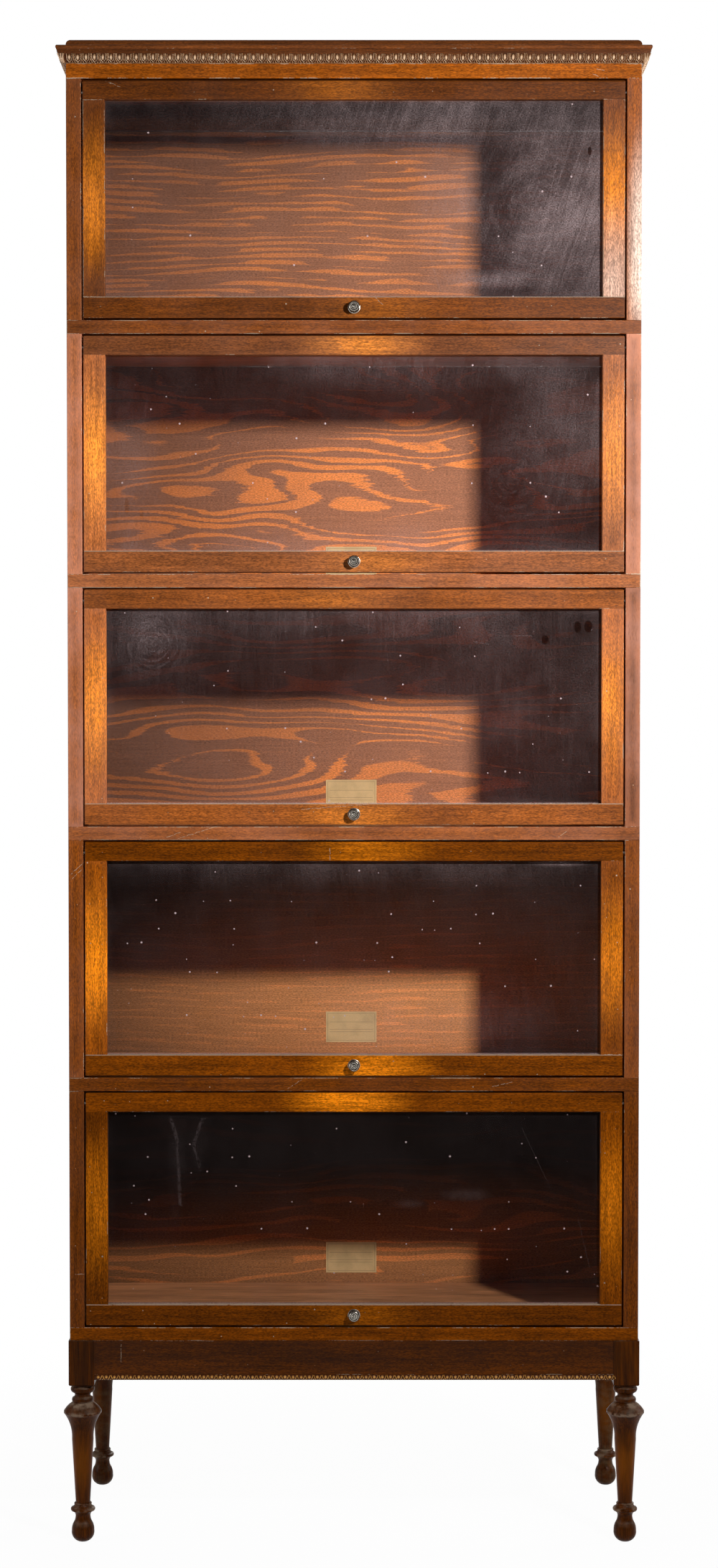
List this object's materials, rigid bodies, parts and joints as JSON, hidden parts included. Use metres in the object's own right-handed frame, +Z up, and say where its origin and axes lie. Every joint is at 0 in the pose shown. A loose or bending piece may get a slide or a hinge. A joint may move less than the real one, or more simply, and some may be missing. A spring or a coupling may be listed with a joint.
{
  "type": "sectional filing cabinet",
  "caption": "Tall stacked wooden record cabinet with glazed lift-up receding doors, moulded crown and a base on turned legs",
  "frame": {"origin": "on the floor, at the middle of the cabinet's outer box", "axes": "+Z up, doors face -Y, +X to the right of someone facing the doors"},
  "size_m": [0.892, 0.3818, 2.275],
  "materials": {
    "rail_mahogany": "aged satin varnish, grain running sideways",
    "stile_mahogany": "aged satin varnish, grain running upright",
    "side_mahogany": "aged satin varnish, grain running upright",
    "crown_mahogany": "aged satin varnish, grain running sideways",
    "carved_mahogany": "carved, worn and dusty",
    "leg_mahogany": "turned, worn on the rings",
    "back_plywood": "rotary cut veneer, thin varnish",
    "dowel_wood": "bare, darkened with age",
    "dusty_glass": "dusty window glass",
    "aged_knob_metal": "worn nickel plate",
    "steel": "dull",
    "label_paper": "aged bare paper"
  },
  "bodies": {
    "cabinet": {"section_1_bottom_board": "rail_mahogany", "section_1_sides": "side_mahogany", "section_1_back_panel": "back_plywood", "section_2_bottom_board": "rail_mahogany", "section_2_sides": "side_mahogany", "section_2_back_panel": "back_plywood", "section_3_bottom_board": "rail_mahogany", "section_3_sides": "side_mahogany", "section_3_back_panel": "back_plywood", "section_4_bottom_board": "rail_mahogany", "section_4_sides": "side_mahogany", "section_4_back_panel": "back_plywood", "section_5_bottom_board": "rail_mahogany", "section_5_sides": "side_mahogany", "section_5_back_panel": "back_plywood", "door_runners": "side_mahogany", "paper_labels": "label_paper", "wood_screws": "steel", "locating_dowels": "dowel_wood", "crown_frieze": "crown_mahogany", "crown_bed_moulding": "carved_mahogany", "crown_lip": "crown_mahogany", "crown_top_board": "crown_mahogany", "leg_front_left": "leg_mahogany", "leg_front_right": "leg_mahogany", "leg_back_left": "leg_mahogany", "leg_back_right": "leg_mahogany", "aprons": "rail_mahogany", "apron_beads": "carved_mahogany", "corner_blocks": "dowel_wood"},
    "door_1": {"door_1_stiles": "stile_mahogany", "door_1_rails": "rail_mahogany", "door_1_glass": "dusty_glass", "door_1_glazing_beads": "rail_mahogany", "door_1_knob": "aged_knob_metal"},
    "carriage_1": {"carriage_1": "steel"},
    "door_2": {"door_2_stiles": "stile_mahogany", "door_2_rails": "rail_mahogany", "door_2_glass": "dusty_glass", "door_2_glazing_beads": "rail_mahogany", "door_2_knob": "aged_knob_metal"},
    "carriage_2": {"carriage_2": "steel"},
    "door_3": {"door_3_stiles": "stile_mahogany", "door_3_rails": "rail_mahogany", "door_3_glass": "dusty_glass", "door_3_glazing_beads": "rail_mahogany", "door_3_knob": "aged_knob_metal"},
    "carriage_3": {"carriage_3": "steel"},
    "door_4": {"door_4_stiles": "stile_mahogany", "door_4_rails": "rail_mahogany", "door_4_glass": "dusty_glass", "door_4_glazing_beads": "rail_mahogany", "door_4_knob": "aged_knob_metal"},
    "carriage_4": {"carriage_4": "steel"},
    "door_5": {"door_5_stiles": "stile_mahogany", "door_5_rails": "rail_mahogany", "door_5_glass": "dusty_glass", "door_5_glazing_beads": "rail_mahogany", "door_5_knob": "aged_knob_metal"},
    "carriage_5": {"carriage_5": "steel"}
  },
  "joints": [
    {"name": "door_1_recede", "type": "slide", "parent": "cabinet", "child": "carriage_1", "axis": [0, 1, 0], "range_m": [0, 0.2825]},
    {"name": "door_1_lift", "type": "hinge", "parent": "carriage_1", "child": "door_1", "pos_m": [0, -0.1661, 2.1975], "axis": [-1, 0, 0], "range_deg": [0, 90]},
    {"name": "door_2_recede", "type": "slide", "parent": "cabinet", "child": "carriage_2", "axis": [0, 1, 0], "range_m": [0, 0.2825]},
    {"name": "door_2_lift", "type": "hinge", "parent": "carriage_2", "child": "door_2", "pos_m": [0, -0.1661, 1.8165], "axis": [-1, 0, 0], "range_deg": [0, 90]},
    {"name": "door_3_recede", "type": "slide", "parent": "cabinet", "child": "carriage_3", "axis": [0, 1, 0], "range_m": [0, 0.2825]},
    {"name": "door_3_lift", "type": "hinge", "parent": "carriage_3", "child": "door_3", "pos_m": [0, -0.1661, 1.4355], "axis": [-1, 0, 0], "range_deg": [0, 90]},
    {"name": "door_4_recede", "type": "slide", "parent": "cabinet", "child": "carriage_4", "axis": [0, 1, 0], "range_m": [0, 0.2825]},
    {"name": "door_4_lift", "type": "hinge", "parent": "carriage_4", "child": "door_4", "pos_m": [0, -0.1661, 1.0545], "axis": [-1, 0, 0], "range_deg": [0, 90]},
    {"name": "door_5_recede", "type": "slide", "parent": "cabinet", "child": "carriage_5", "axis": [0, 1, 0], "range_m": [0, 0.2825]},
    {"name": "door_5_lift", "type": "hinge", "parent": "carriage_5", "child": "door_5", "pos_m": [0, -0.1661, 0.6735], "axis": [-1, 0, 0], "range_deg": [0, 90]}
  ]
}
